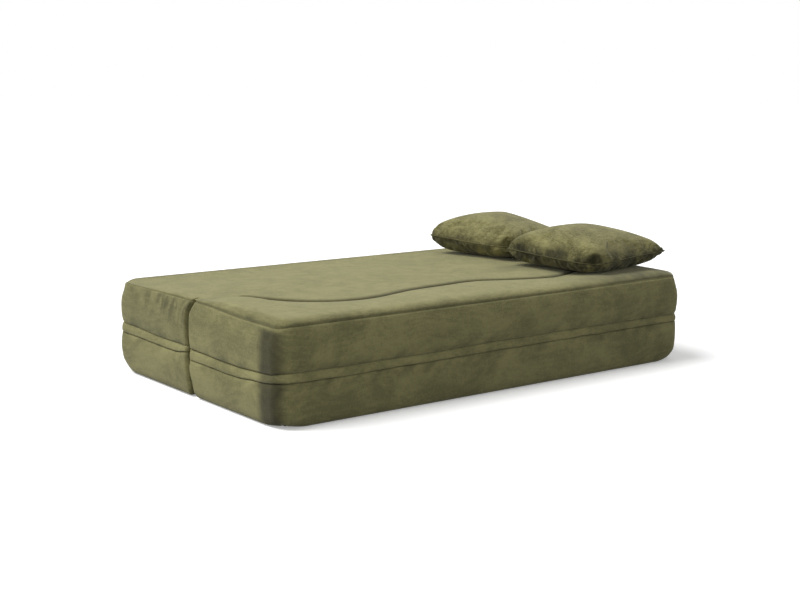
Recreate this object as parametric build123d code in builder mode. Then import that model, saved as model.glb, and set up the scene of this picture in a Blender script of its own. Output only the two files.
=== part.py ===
from build123d import *
import os

# Sofa bed, opened flat: two upholstered foam blocks side by side, joined by a cloth hinge over the
# parting gap, with two loose pillows at one end. The seat block is at -Y, the folding back block at
# +Y. X runs along the bed. The origin is on the floor, under the middle of the bed. Millimetres.

# Blocks
bed_length = 1900
seat_depth = 525
back_depth = 525
parting_gap = 13
roll_rise = 14
sheet_height = 342
seat_height = sheet_height + roll_rise
seam_height = 333
corner_radius = 76
gap_corner_radius = 24
gap_foot_radius = 26
foot_bend_share = 0.25
gap_top_radius = 9
gap_belly = 3
bottom_radius = 38
border_bulge = 6
seam_setback = 9
roll_out_share = 0.26
roll_up_share = 0.64
seat_roll_width = 72
back_roll_width = 48

# Cover, foam and underside
cover_thickness = 3
fit_clearance = 0.3
base_foam_height = 215
base_cloth_margin = 66

# Zip band round each block
band_low = 150
band_high = 186
band_pinch = 5
flap_thickness = 2.2
flap_lip = 3
flap_setback = 0.8
tape_setback = 10
tape_thickness = 1.4
tape_overlap = 6
chain_thickness = 2
chain_width = 6
slider_length = 16
slider_width = 11
slider_thickness = 3.6
slider_end_margin = 200

# Pulled seam across the seat block, drawn as shares of the half length and of the seat's depth
wave_x_shares = (-0.842, -0.679, -0.442, 0.063, 0.484, 0.779, 0.884)
wave_y_shares = (0.06, -0.514, -0.562, -0.314, -0.61, -0.362, 0.06)
wave_radius_shares = (0.0282, 0.0802, 0.0916, 0.0458, 0.0344)
groove_radius = 7
roll_slope = 48
roll_fade = 120

# Cloth hinge
hinge_width = 72
hinge_thickness = 3
hinge_end_margin = 6

# Pillows
pillow_size = 440
pillow_thickness = 165
pillow_dip = 13
pillow_corner = 26
pillow_cover = 2
pillow_end_margin = 250
near_pillow_y = -223
far_pillow_y = 248
pillow_size_shares = (1, 0.955, 0.87, 0.72, 0.5, 0.26)
pillow_height_shares = (0, 0.32, 0.58, 0.81, 0.95, 1)
pillow_round_shares = (0, 0.08, 0.2, 0.36, 0.6, 0.85)
belly_share = 0.06
pillow_zip_length = 240
pillow_zip_width = 5
pillow_zip_thickness = 2.4
pillow_zip_inset = 22

overrun = 40

half_length = bed_length / 2
gap_face = parting_gap / 2
# for each block: which way it lies from the gap, its depth, its height and the width of its roll
blocks = {
    "seat": (-1, seat_depth, seat_height, seat_roll_width),
    "back": (1, back_depth, sheet_height, back_roll_width),
}


def corner_plane(depth, x_dir):
    # upright plane through the centre of an outer corner, its x axis pointing outwards
    corner = (half_length - corner_radius, gap_face + depth - corner_radius, 0)
    normal = (0, -1, 0) if x_dir[0] else (1, 0, 0)
    return Plane(origin=corner, x_dir=x_dir, z_dir=normal)


def block_edge(plane, height, roll, inset):
    # section of a block's edge, out from the corner's axis: rounded foot, two bulging borders that
    # draw in at the band, the sewn seam at the top and the soft roll above it
    out = corner_radius - inset
    pinched = out - band_pinch
    seam = out - seam_setback
    foot = bottom_radius - inset
    middle_low = (bottom_radius + band_low) / 2
    middle_high = (band_high + seam_height) / 2
    low_belly = out - band_pinch / 2 + border_bulge / 2
    high_belly = out - (band_pinch + seam_setback) / 2 + border_bulge
    seam_top = seam_height - inset
    roll_rise = height - seam_height
    roll_end = seam - roll + seam_setback
    with BuildSketch(plane) as section:
        with BuildLine():
            Line((0, inset), (out - foot, inset))
            RadiusArc((out - foot, inset), (out, bottom_radius), -foot)
            ThreePointArc((out, bottom_radius), (low_belly, middle_low), (pinched, band_low))
            Line((pinched, band_low), (pinched, band_high))
            ThreePointArc((pinched, band_high), (high_belly, middle_high), (seam, seam_top))
            ThreePointArc((seam, seam_top), (seam - roll * roll_out_share, seam_top + roll_rise * roll_up_share),
                          (roll_end, height - inset))
            Line((roll_end, height - inset), (0, height - inset))
            Line((0, height - inset), (0, inset))
        make_face()
    return section.sketch


def gap_section(depth, height, inset):
    # side view of a block's space: its far end is open, its face to the gap bulges above and below
    # the band, and the crown of a higher block fades down to the cloth hinge
    face = gap_face + inset
    foot = gap_foot_radius - inset
    top = sheet_height - inset
    top_round = gap_top_radius
    belly_low = (gap_foot_radius + band_low) / 2
    belly_high = (band_high + sheet_height - gap_top_radius) / 2
    pinched = face + band_pinch
    end = gap_face + depth + overrun
    fade_start = hinge_width / 2
    with BuildSketch(Plane.YZ.offset(-bed_length)) as section:
        with BuildLine():
            Line((end, inset), (face + foot, inset))
            ThreePointArc((face + foot, inset), (face + foot * foot_bend_share, inset + foot * foot_bend_share),
                          (face, inset + foot))
            ThreePointArc((face, inset + foot), (face - gap_belly / 2 + band_pinch / 2, belly_low),
                          (pinched, band_low))
            Line((pinched, band_low), (pinched, band_high))
            ThreePointArc((pinched, band_high), (face - gap_belly / 2 + band_pinch / 2, belly_high),
                          (face, top - top_round))
            ThreePointArc((face, top - top_round),
                          (face + top_round * (1 - 0.5 ** 0.5), top - top_round * (1 - 0.5 ** 0.5)),
                          (face + top_round, top))
            Polyline((face + top_round, top), (fade_start, top),
                     (fade_start + roll_fade, height - inset + gap_belly), (end, height + overrun),
                     (end, inset))
        make_face()
    return section.sketch


def plan_outline(depth, inset, gap_inset):
    # outline of a block seen from above, lying on the +Y side of the gap
    end = half_length - inset
    near = gap_face + gap_inset
    far = gap_face + depth - inset
    big = corner_radius - inset
    small = gap_corner_radius - gap_inset
    with BuildSketch() as outline:
        with BuildLine():
            for side in (1, -1):
                Line((0, far), (side * (end - big), far))
                RadiusArc((side * (end - big), far), (side * end, far - big), side * big)
                Line((side * end, far - big), (side * end, near + small))
                RadiusArc((side * end, near + small), (side * (end - small), near), side * small)
                Line((side * (end - small), near), (0, near))
        make_face()
    return outline.sketch


def whole_bed(depth, height, roll, inset):
    # the space of the whole bed at one block's height: a quarter of its edge is a turned corner and
    # two straight runs round a filled middle, mirrored twice
    corner = (half_length - corner_radius, gap_face + depth - corner_radius, 0)
    end_section = block_edge(corner_plane(depth, (1, 0, 0)), height, roll, inset)
    side_section = block_edge(corner_plane(depth, (0, 1, 0)), height, roll, inset)
    with BuildPart() as form:
        revolve(end_section, axis=Axis(corner, (0, 0, 1)), revolution_arc=90)
        extrude(end_section, amount=corner[1])
        extrude(side_section, amount=-corner[0])
        with BuildSketch(Plane.XY.offset(inset)):
            Rectangle(corner[0], corner[1], align=(Align.MIN, Align.MIN))
        extrude(amount=height - inset - inset)
        mirror(about=Plane.YZ)
        mirror(about=Plane.XZ)
    return form.part


def placed(part, side):
    return part if side > 0 else part.mirror(Plane.XZ)


def block_form(name, inset):
    side, depth, height, roll = blocks[name]
    with BuildPart() as form:
        add(whole_bed(depth, height, roll, inset))
        extrude(gap_section(depth, height, inset), amount=bed_length * 2, mode=Mode.INTERSECT)
        extrude(plan_outline(depth, inset - border_bulge, inset - gap_belly), amount=height,
                mode=Mode.INTERSECT)
    return placed(form.part, side)


def ring_form(name, outer, inner, low, high):
    # a plain ring that runs round a block, given by how far its two sides are set in
    side, depth, height, roll = blocks[name]
    with BuildPart() as form:
        extrude(plan_outline(depth, outer, outer).moved(Location((0, 0, low))), amount=high - low)
        extrude(plan_outline(depth, inner, inner).moved(Location((0, 0, low))), amount=high - low,
                mode=Mode.SUBTRACT)
    return placed(form.part, side)


def wave_points():
    return [(half_length * x, seat_depth * y) for x, y in zip(wave_x_shares, wave_y_shares)]


def wave_radii():
    # a wave drawn out over a longer bed bends less, and a deeper one bends more
    return [bed_length ** 2 / seat_depth * share for share in wave_radius_shares]


def wave_path(height):
    with BuildLine(Plane.XY.offset(height)) as path:
        FilletPolyline(*wave_points(), radius=wave_radii())
    return path.wire()


def wave_cut(inset):
    # behind the pulled seam the cover lies flat, lower than the roll in front of it, whose side slopes
    points = wave_points()
    start = Vector(*points[0], sheet_height)
    second = Vector(*points[1], sheet_height)
    with BuildPart() as cut:
        with BuildSketch(Plane.XY.offset(sheet_height - inset)):
            with BuildLine():
                FilletPolyline(*points, radius=wave_radii())
                Line(points[-1], points[0])
            make_face()
            if inset:
                offset(amount=inset)
        extrude(amount=seat_height - sheet_height + cover_thickness, taper=-roll_slope)
        with BuildSketch(Plane(origin=start, z_dir=second - start)):
            Circle(groove_radius + inset)
        sweep(path=wave_path(sheet_height))
    return cut.part


def box(x_low, x_high, y_low, y_high, z_low, z_high):
    with BuildPart() as block:
        with BuildSketch(Plane.XY.offset(z_low)):
            with Locations(((x_low + x_high) / 2, (y_low + y_high) / 2)):
                Rectangle(x_high - x_low, y_high - y_low)
        extrude(amount=z_high - z_low)
    return block.part


os.makedirs("parts", exist_ok=True)


def write(part, label):
    part.label = label
    export_step(part, "parts/" + label + ".step")


hinge_half = half_length - hinge_end_margin - corner_radius
hinge_low = sheet_height - hinge_thickness
hinge_space = box(-hinge_half, hinge_half, -hinge_width / 2, hinge_width / 2, hinge_low,
                  seat_height + overrun)

for name, (side, depth, height, roll) in blocks.items():
    middle = side * (gap_face + depth / 2)
    outside = block_form(name, 0)
    inside = block_form(name, cover_thickness)
    core = block_form(name, cover_thickness + fit_clearance)
    y_low = middle - depth / 2 - overrun
    y_high = middle + depth / 2 + overrun
    below_band = box(-bed_length, bed_length, y_low, y_high, 0, band_low)
    above_band = box(-bed_length, bed_length, y_low, y_high, band_high, height + overrun)
    panel_x = half_length - base_cloth_margin
    panel_y = depth / 2 - base_cloth_margin

    with BuildPart() as upper_cover:
        add(outside)
        if name == "seat":
            add(wave_cut(0), mode=Mode.SUBTRACT)
        with BuildPart(mode=Mode.PRIVATE) as hollow:
            add(inside)
            if name == "seat":
                add(wave_cut(cover_thickness), mode=Mode.SUBTRACT)
        add(hollow.part, mode=Mode.SUBTRACT)
        add(above_band, mode=Mode.INTERSECT)
        add(hinge_space, mode=Mode.SUBTRACT)
    write(upper_cover.part, name + "_upper_cover")

    base_panel = box(-panel_x, panel_x, middle - panel_y, middle + panel_y, 0, cover_thickness)
    with BuildPart() as lower_cover:
        add(outside)
        add(inside, mode=Mode.SUBTRACT)
        add(below_band, mode=Mode.INTERSECT)
        add(base_panel, mode=Mode.SUBTRACT)
    write(lower_cover.part, name + "_lower_cover")

    with BuildPart() as base_cloth:
        add(base_panel)
    write(base_cloth.part, name + "_base_cloth")

    # foam, drawn in behind the zip
    zip_room = ring_form(name, -gap_face, tape_setback + tape_thickness + fit_clearance,
                         band_low - tape_overlap - fit_clearance, band_high + tape_overlap + fit_clearance)
    with BuildPart() as base_foam:
        add(core)
        add(zip_room, mode=Mode.SUBTRACT)
        add(box(-bed_length, bed_length, y_low, y_high, 0, base_foam_height), mode=Mode.INTERSECT)
    write(base_foam.part, name + "_base_foam")

    with BuildPart() as comfort_foam:
        add(core)
        if name == "seat":
            add(wave_cut(cover_thickness + fit_clearance), mode=Mode.SUBTRACT)
        add(box(-bed_length, bed_length, y_low, y_high, base_foam_height, height), mode=Mode.INTERSECT)
        add(hinge_space.moved(Location((0, 0, -fit_clearance))), mode=Mode.SUBTRACT)
    write(comfort_foam.part, name + "_comfort_foam")

    # zip: tape, chain, the slider behind the flap, and the flap itself
    with BuildPart() as tape:
        add(ring_form(name, tape_setback, tape_setback + tape_thickness, band_low - tape_overlap,
                      band_high + tape_overlap))
    write(tape.part, name + "_zip_tape")

    chain_middle = (band_low + band_high) / 2
    with BuildPart() as chain:
        add(ring_form(name, tape_setback - chain_thickness, tape_setback, chain_middle - chain_width / 2,
                      chain_middle + chain_width / 2))
    write(chain.part, name + "_zip_chain")

    with BuildPart() as flap:
        add(ring_form(name, flap_setback, flap_setback + flap_thickness, band_low + flap_lip, band_high))
        add(ring_form(name, flap_setback + flap_thickness, tape_setback, band_high - flap_thickness,
                      band_high))
    write(flap.part, name + "_zip_flap")

    slider_start = slider_end_margin - half_length
    slider_out = middle + depth / 2 - flap_setback - flap_thickness - fit_clearance
    with BuildPart() as slider:
        add(box(slider_start - slider_length, slider_start,
                slider_out - slider_thickness, slider_out, chain_middle - slider_width / 2,
                chain_middle + slider_width / 2))
        fillet(slider.edges().filter_by(Axis.Y), radius=slider_width / 4)
    write(slider.part, name + "_zip_slider")

with BuildPart() as hinge_cloth:
    add(box(-hinge_half, hinge_half, -hinge_width / 2, hinge_width / 2, hinge_low, sheet_height))
write(hinge_cloth.part, "hinge_cloth")


def pillow_outline(height, size, dip, corner):
    # a square with sides that draw in and soft corners, all in arcs
    half = size / 2
    reach = half - corner
    bend = corner * (1 - 0.5 ** 0.5)
    with BuildSketch(Plane.XY.offset(height)) as outline:
        with BuildLine():
            for turn in range(4):
                side = ((reach, -half), (0, dip - half), (-reach, -half))
                ThreePointArc(*[Vector(*spot).rotate(Axis.Z, 90 * turn) for spot in side])
                bend_round = ((-reach, -half), (bend - half, bend - half), (-half, -reach))
                ThreePointArc(*[Vector(*spot).rotate(Axis.Z, 90 * turn) for spot in bend_round])
        make_face()
    return outline.sketch


def pillow_form(inset):
    # lofted upwards and downwards from the sewn edge to the crown
    full = pillow_size - 2 * inset
    crown = pillow_thickness / 2 - inset
    with BuildPart() as form:
        for way in (1, -1):
            sections = []
            for size_share, height_share, round_share in zip(
                    pillow_size_shares, pillow_height_shares, pillow_round_shares):
                size = full * size_share
                corner = pillow_corner * size_share + (size / 2 - pillow_corner) * round_share
                dip = pillow_dip * size_share * (1 - round_share) - size * round_share * belly_share
                sections.append(pillow_outline(way * crown * height_share, size, dip, corner))
            loft(sections)
    return form.part


pillow_outside = pillow_form(0)
pillow_inside = pillow_form(pillow_cover)
pillow_core = pillow_form(pillow_cover + fit_clearance)
zip_edge = pillow_size / 2 - pillow_zip_inset
zip_slot = box(zip_edge - pillow_zip_width, half_length, -pillow_zip_length / 2, pillow_zip_length / 2,
               -pillow_zip_thickness / 2, pillow_zip_thickness / 2)
zip_strip = box(zip_edge - pillow_zip_width, zip_edge, -pillow_zip_length / 2, pillow_zip_length / 2,
                -pillow_zip_thickness / 2, pillow_zip_thickness / 2)
zip_room = box(zip_edge - pillow_zip_width - fit_clearance, half_length, -pillow_zip_length / 2,
               pillow_zip_length / 2, -pillow_zip_thickness / 2 - fit_clearance,
               pillow_zip_thickness / 2 + fit_clearance)

pillow_places = {
    "near": (half_length - pillow_end_margin, near_pillow_y, seat_height + fit_clearance + pillow_thickness / 2),
    "far": (half_length - pillow_end_margin, far_pillow_y, sheet_height + fit_clearance + pillow_thickness / 2),
}
for name, place in pillow_places.items():
    spot = Location(place)
    with BuildPart() as pillow_shell:
        add(pillow_outside)
        add(pillow_inside, mode=Mode.SUBTRACT)
        add(zip_slot, mode=Mode.SUBTRACT)
    write(pillow_shell.part.moved(spot), "pillow_" + name + "_cover")

    with BuildPart() as pillow_fill:
        add(pillow_core)
        add(zip_room, mode=Mode.SUBTRACT)
    write(pillow_fill.part.moved(spot), "pillow_" + name + "_fill")

    with BuildPart() as pillow_zip:
        add(zip_strip)
    write(pillow_zip.part.moved(spot), "pillow_" + name + "_zip")
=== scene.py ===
"""Sofa bed, opened flat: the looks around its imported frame.

Two plush foam blocks on a cloth hinge, a wavy pulled seam, zip bands and two loose pillows.
"""
import math

import bpy
import numpy as np
from mathutils import Matrix, Vector


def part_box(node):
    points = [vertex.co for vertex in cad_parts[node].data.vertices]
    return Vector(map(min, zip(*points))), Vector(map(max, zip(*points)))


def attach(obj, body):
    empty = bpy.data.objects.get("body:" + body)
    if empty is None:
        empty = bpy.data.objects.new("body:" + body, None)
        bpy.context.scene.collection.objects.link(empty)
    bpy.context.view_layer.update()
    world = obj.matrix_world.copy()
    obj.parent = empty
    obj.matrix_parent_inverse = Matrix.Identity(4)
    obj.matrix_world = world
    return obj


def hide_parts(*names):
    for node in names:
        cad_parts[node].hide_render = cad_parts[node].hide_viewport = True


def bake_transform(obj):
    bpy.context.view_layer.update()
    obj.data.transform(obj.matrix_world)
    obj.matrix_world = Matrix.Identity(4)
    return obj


bl_info = {
    "name": "Sofa bed looks",
    "version": (1, 0, 0),
    "blender": (4, 5, 0),
    "location": "View3D > Sidebar > Sofa bed",
    "description": "Builds the plush covers, seams, zip bands, pillows and stage of a flat sofa bed",
    "category": "Object",
}

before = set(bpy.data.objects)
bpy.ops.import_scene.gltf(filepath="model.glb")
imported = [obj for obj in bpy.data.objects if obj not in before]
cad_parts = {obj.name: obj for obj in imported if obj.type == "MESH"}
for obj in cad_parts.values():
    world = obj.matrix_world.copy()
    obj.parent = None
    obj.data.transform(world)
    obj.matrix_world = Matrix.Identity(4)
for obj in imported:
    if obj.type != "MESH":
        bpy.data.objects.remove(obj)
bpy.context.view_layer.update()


# Properties

class BlockSizes(bpy.types.PropertyGroup):
    """Sizes of the two upholstered blocks."""

    length: bpy.props.FloatProperty(
        name="Length", description="Length of the bed", default=1.9, unit="LENGTH")
    depth: bpy.props.FloatProperty(
        name="Depth", description="Depth of each block", default=0.525, unit="LENGTH")
    gap: bpy.props.FloatProperty(
        name="Gap", description="Width of the parting gap", default=0.013, unit="LENGTH")
    sheet: bpy.props.FloatProperty(
        name="Sheet height", description="Height of the flat top cloth", default=0.342, unit="LENGTH")
    roll: bpy.props.FloatProperty(
        name="Roll height", description="How far the front roll stands above the sheet", default=0.013,
        unit="LENGTH")
    seam: bpy.props.FloatProperty(
        name="Seam height", description="Height of the sewn top edge", default=0.334, unit="LENGTH")
    corner: bpy.props.FloatProperty(
        name="Corner radius", description="Outer corners seen from above", default=0.056, unit="LENGTH")
    gap_corner: bpy.props.FloatProperty(
        name="Gap corner radius", description="Corners beside the gap", default=0.011, unit="LENGTH")


class PillowSizes(bpy.types.PropertyGroup):
    """Sizes and places of the two loose pillows."""

    side: bpy.props.FloatProperty(
        name="Side", description="Side of a pillow", default=0.442, unit="LENGTH")
    thick: bpy.props.FloatProperty(
        name="Thickness", description="Height of the crown, top to bottom", default=0.168, unit="LENGTH")
    near_fill: bpy.props.FloatProperty(
        name="Near fill", description="How full the near pillow is", default=0.40, min=0, max=1)
    far_fill: bpy.props.FloatProperty(
        name="Far fill", description="How full the far pillow is", default=0.62, min=0, max=1)


class PlushColours(bpy.types.PropertyGroup):
    """Colours of the plush and its parts."""

    pile: bpy.props.FloatVectorProperty(
        name="Pile", description="Plush seen square on", default=(0.28, 0.262, 0.118), size=3, subtype="COLOR")
    pile_dark: bpy.props.FloatVectorProperty(
        name="Pile shade", description="Plush brushed the dark way", default=(0.16, 0.152, 0.066), size=3,
        subtype="COLOR")
    pillow: bpy.props.FloatVectorProperty(
        name="Pillow pile", description="Pillow plush brushed the light way", default=(0.275, 0.255, 0.108),
        size=3, subtype="COLOR")
    pillow_dark: bpy.props.FloatVectorProperty(
        name="Pillow shade", description="Pillow plush brushed the dark way", default=(0.075, 0.07, 0.026),
        size=3, subtype="COLOR")


# Noise and mesh helpers

def smooth(t):
    """0 below 0, 1 above 1, and 3t^2 - 2t^3 between."""
    t = np.clip(t, 0.0, 1.0)
    return t * t * (3.0 - 2.0 * t)


def bump(t):
    """A soft hump: (1 + cos(pi t)) / 2 for t from -1 to 1, and 0 outside."""
    return 0.5 + 0.5 * np.cos(np.pi * np.clip(t, -1.0, 1.0))


def waves(u, v, seed, scale, octaves=3):
    """Smooth noise about 0: a sum of sines in random directions, each octave twice as fine and half as high."""
    rng = np.random.default_rng(seed)
    total = np.zeros(np.broadcast(u, v).shape)
    for octave in range(octaves):
        size = 2.0 ** octave / scale
        for _ in range(5):
            turn = rng.uniform(0, 2 * np.pi)
            shift = rng.uniform(0, 2 * np.pi)
            pace = size * rng.uniform(0.7, 1.3)
            total += np.sin((u * np.cos(turn) + v * np.sin(turn)) * pace * 2 * np.pi + shift) / (5 * 2 ** octave)
    return total


def stacked(x, y, z):
    """Points from x, y and z, each a number or an array."""
    return np.stack(np.broadcast_arrays(x, y, z), axis=-1)


def make_mesh(name, points, faces, smoothed=True):
    """Mesh from a grid or list of points and an array or list of faces."""
    mesh = bpy.data.meshes.new(name)
    mesh.from_pydata(points.reshape(-1, 3).tolist(), [], faces if isinstance(faces, list) else faces.tolist())
    mesh.polygons.foreach_set("use_smooth", np.full(len(mesh.polygons), smoothed))
    mesh.update()
    return mesh


def mesh_points(mesh):
    """A mesh's points as an array."""
    points = np.empty(len(mesh.vertices) * 3)
    mesh.vertices.foreach_get("co", points)
    return points.reshape(-1, 3)


def add_object(name, mesh, material=None):
    """Object at the origin that shows the mesh in the material."""
    obj = bpy.data.objects.new(name, mesh)
    bpy.context.scene.collection.objects.link(obj)
    if material is not None:
        mesh.materials.append(material)
    return obj


def set_attribute(mesh, name, values):
    """Per-point float attribute."""
    layer = mesh.attributes.new(name, "FLOAT", "POINT")
    layer.data.foreach_set("value", values.astype(np.float32))


# Plan of a block: a grid over its rounded outline, and the wall that hangs from that grid's edge

SEAM_SET = 0.0052       # from the outline in to the sewn top edge
BELLY = 0.0055          # from the outline out to the fullest part of the wall
HALF_LENGTH = 0.95      # of the bed, to its corners
HALF_WIDTH = 0.5325
SEWN_EDGE = 0.334       # height of the sewn top edge
ZIP_HEIGHT = 0.1688     # height of the zip's slider
HINGE_REACH = 0.926     # from the middle to the end of the hinge cloth
HINGE_FADE = 0.032      # over which its ends run out
HINGE_SIDE = 0.036      # from the middle of the gap to the cloth's long edge


def edge_spaced(reach, step, edge):
    """Distances from 0 to reach, spaced like edge near both ends and by step between."""
    inner = np.linspace(edge[-1], reach - edge[-1], max(2, int(round((reach - 2 * edge[-1]) / step)) + 1))
    return np.concatenate([edge[:-1], inner, (reach - edge[:-1])[::-1]])


def corner_rows(radius, turns):
    """Offsets from an edge at equal turns round a corner arc: r (1 - sin a)."""
    angle = np.linspace(math.pi / 2, 0, turns)
    return radius * (1 - np.sin(angle))


def signed_inside(x, y, half, y0, y1, r0, r1):
    """Distance inside the rounded outline, with corner radius r0 at the low side and r1 at the high side."""
    middle = (y0 + y1) / 2
    radius = np.where(y < middle, r0, r1)
    qx = np.abs(x) - (half - radius)
    qy = np.abs(y - middle) - ((y1 - y0) / 2 - radius)
    outside = np.hypot(np.maximum(qx, 0), np.maximum(qy, 0))
    return radius - outside - np.minimum(np.maximum(qx, qy), 0)


def outline_normals(px, py, half, y0, y1, r0, r1):
    """Outward directions of points on the rounded outline, from the nearest corner centre or straight side."""
    middle = (y0 + y1) / 2
    radius = np.where(py < middle, r0, r1)
    cx = np.clip(px, -(half - radius), half - radius)
    cy = np.clip(py, y0 + r0, y1 - r1)
    nx, ny = px - cx, py - cy
    size = np.hypot(nx, ny)
    return nx / size, ny / size


def plan_grid(columns, rows, half, y0, y1, r0, r1):
    """Grid of x and y that fills the rounded outline: each row is drawn in by the corner arc's
    r - sqrt(r^2 - t^2)."""
    low = np.clip(y0 + r0 - rows, 0, r0)
    high = np.clip(rows - (y1 - r1), 0, r1)
    cut = np.maximum(r0 - np.sqrt(np.maximum(r0 ** 2 - low ** 2, 0)),
                     r1 - np.sqrt(np.maximum(r1 ** 2 - high ** 2, 0)))
    x = columns * (half - cut)[:, None]
    y = np.repeat(rows[:, None], len(columns), axis=1)
    return x, y


def index_grid(rows, cols, start=0):
    """Indices of a grid's points, row by row."""
    return np.arange(rows * cols).reshape(rows, cols) + start


def edge_loop(rows, cols):
    """Indices of a grid's outer points, once round, anticlockwise seen from above."""
    grid = index_grid(rows, cols)
    return np.concatenate([grid[0, :-1], grid[:-1, -1], grid[-1, :0:-1], grid[:0:-1, 0]])


def grid_quads(grid):
    """Quads of a grid of indices, facing up."""
    return np.stack([grid[:-1, :-1], grid[:-1, 1:], grid[1:, 1:], grid[1:, :-1]], axis=-1).reshape(-1, 4)


def ring_quads(lower, upper):
    """Quads from closed rings of indices to the rings above them, facing out when they run anticlockwise seen from
    above."""
    around = [lower, np.roll(lower, -1, axis=-1), np.roll(upper, -1, axis=-1), upper]
    return np.stack(around, axis=-1).reshape(-1, 4)


# The pulled seam on the seat: where it runs, and the height of the cloth on both sides

WAVE_X = np.array([
    -0.96, -0.80, -0.765, -0.745, -0.725, -0.70, -0.66, -0.60, -0.53, -0.455, -0.38, -0.30, -0.20, -0.10,
    0.0, 0.08, 0.15, 0.22, 0.30, 0.38, 0.455, 0.53, 0.60, 0.66, 0.72, 0.78, 0.83, 0.96])
WAVE_Y = np.array([
    -0.035, -0.035, -0.05, -0.075, -0.11, -0.15, -0.20, -0.247, -0.275, -0.285, -0.28, -0.262, -0.235, -0.220,
    -0.212, -0.207, -0.214, -0.240, -0.266, -0.288, -0.298, -0.283, -0.258, -0.225, -0.18, -0.11, -0.05, -0.035])


def wave_line(x):
    """The pulled seam's y at x: a Hermite curve through the points, its slopes from their neighbours."""
    slope = np.gradient(WAVE_Y, WAVE_X)
    i = np.clip(np.searchsorted(WAVE_X, x) - 1, 0, len(WAVE_X) - 2)
    run = WAVE_X[i + 1] - WAVE_X[i]
    t = (x - WAVE_X[i]) / run
    a, b = WAVE_Y[i], WAVE_Y[i + 1]
    ma, mb = slope[i] * run, slope[i + 1] * run
    return ((2 * t ** 3 - 3 * t ** 2 + 1) * a + (t ** 3 - 2 * t ** 2 + t) * ma
            + (3 * t ** 2 - 2 * t ** 3) * b + (t ** 3 - t ** 2) * mb)


def wave_fade(x):
    """1 along the pulled seam, falling to 0 where it runs out at both ends."""
    return smooth((x + 0.795) / 0.06) * smooth((0.86 - x) / 0.09)


def rounded(inside, width):
    """0 at the sewn edge to 1 at a distance width inside it, like a quarter of a rounded square:
    (1 - (1 - d / width)^2.3)^(1 / 2.3)."""
    left = 1 - np.clip(inside / width, 0, 1)
    return np.maximum(1 - left ** 2.3, 0) ** (1 / 2.3)


def joined_inside(x, y, inside, plan):
    """Distance inside the edge, but not counting the gap's edge where the hinge cloth carries the sheet over."""
    half, y0, y1, r0, r1 = plan
    wide = (half, y0, 0.08, r0, r0) if y0 < 0 else (half, -0.08, y1, r1, r1)
    carried = smooth((HINGE_REACH + 0.01 - np.abs(x)) / HINGE_FADE)
    return inside + (np.maximum(signed_inside(x, y, *wide), inside) - inside) * carried


def hinge_bed(y):
    """How far a block's top sinks to make room for the hinge cloth."""
    return 0.0009 * smooth((HINGE_SIDE - np.abs(y)) / 0.03)


def seam_drop(x, y, side):
    """How far a block's sewn edge lies below its height at the gap: most at the near end, least along the front
    towards the far end."""
    away = smooth((side * y - 0.03) / 0.3)
    if side > 0:
        return 0.004 * away
    front = 0.0035 - 0.0025 * smooth((x - 0.2) / 0.6)
    ends = np.where(x < 0, 0.010, 0.004)
    return away * (front + (ends - front) * smooth((np.abs(x) - 0.9) / 0.045))


def seat_top(x, y, plan, sizes):
    """Height of the seat's top cloth and its mask of painted shade in the crease: the flat sheet ends in a steep
    fold at the pulled seam, and in front of it the cloth climbs from the crease to the crowned roll."""
    inside = np.maximum(signed_inside(x, y, *plan), 0)
    edge = joined_inside(x, y, inside, plan)
    sewn = sizes.seam - seam_drop(x, y, -1)
    rise = sizes.sheet - sewn
    here = wave_line(x)
    slope = (wave_line(x + 0.002) - wave_line(x - 0.002)) / 0.004
    across = (y - here) / np.sqrt(1 + slope ** 2)
    fade = wave_fade(x)
    front, behind = np.maximum(-across, 0), np.maximum(across, 0)
    crown = smooth((-y - 0.02) / 0.16)
    flat = rise * rounded(edge, 0.017)
    full = (rise + sizes.roll * crown) * rounded(edge, 0.017 + 0.031 * crown)
    climb = np.where(across < 0, smooth(front / 0.17), 0) * fade + (1 - fade)
    lip = np.where(across < 0, 0.0034 * np.exp(-front / 0.06) + 0.0096 * np.exp(-front / 0.0042), 0)
    fold = np.where(across < 0, 0, 0.0130 * np.exp(-(behind / 0.0085) ** 1.3))
    z = sewn + flat + (full - flat) * climb - (lip + fold) * fade
    z += waves(x, y, 11, 0.42, 2) * 0.0011 * smooth(inside / 0.1) * np.where(across < 0, 1.0, 0.35)
    z += waves(x, y, 12, 0.11, 2) * 0.0005 * smooth(inside / 0.05) * smooth(front / 0.03)
    z -= 0.008 * smooth((x - 0.83) / 0.11) * crown * smooth(inside / 0.02)
    # painted shade in the pulled seam's crease, deepest at the crease line
    crease_shade = fade * np.where(across < 0, np.exp(-(front / 0.0050) ** 2), np.exp(-(behind / 0.0150) ** 1.6))
    return z - hinge_bed(y), np.minimum(1.25 * crease_shade, 1.0)


def back_top(x, y, plan, sizes):
    """Height of the back's top cloth and its mask of painted crease shade, which is 0 here: flat, lower towards
    its free side by 14.5 mm, with a small roll at its edge, and no crease."""
    inside = np.maximum(signed_inside(x, y, *plan), 0)
    edge = joined_inside(x, y, inside, plan)
    sewn = sizes.seam - seam_drop(x, y, 1)
    sheet = sizes.sheet - 0.0145 * smooth((y - 0.06) / 0.44)
    z = sewn + (sheet - sewn) * rounded(edge, 0.017)
    z += waves(x, y, 21, 0.5, 2) * 0.0009 * smooth(inside / 0.12)
    return z - hinge_bed(y), np.zeros_like(z)


# Wall profiles: height, and how far the cloth stands out from the block's reference outline

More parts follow.
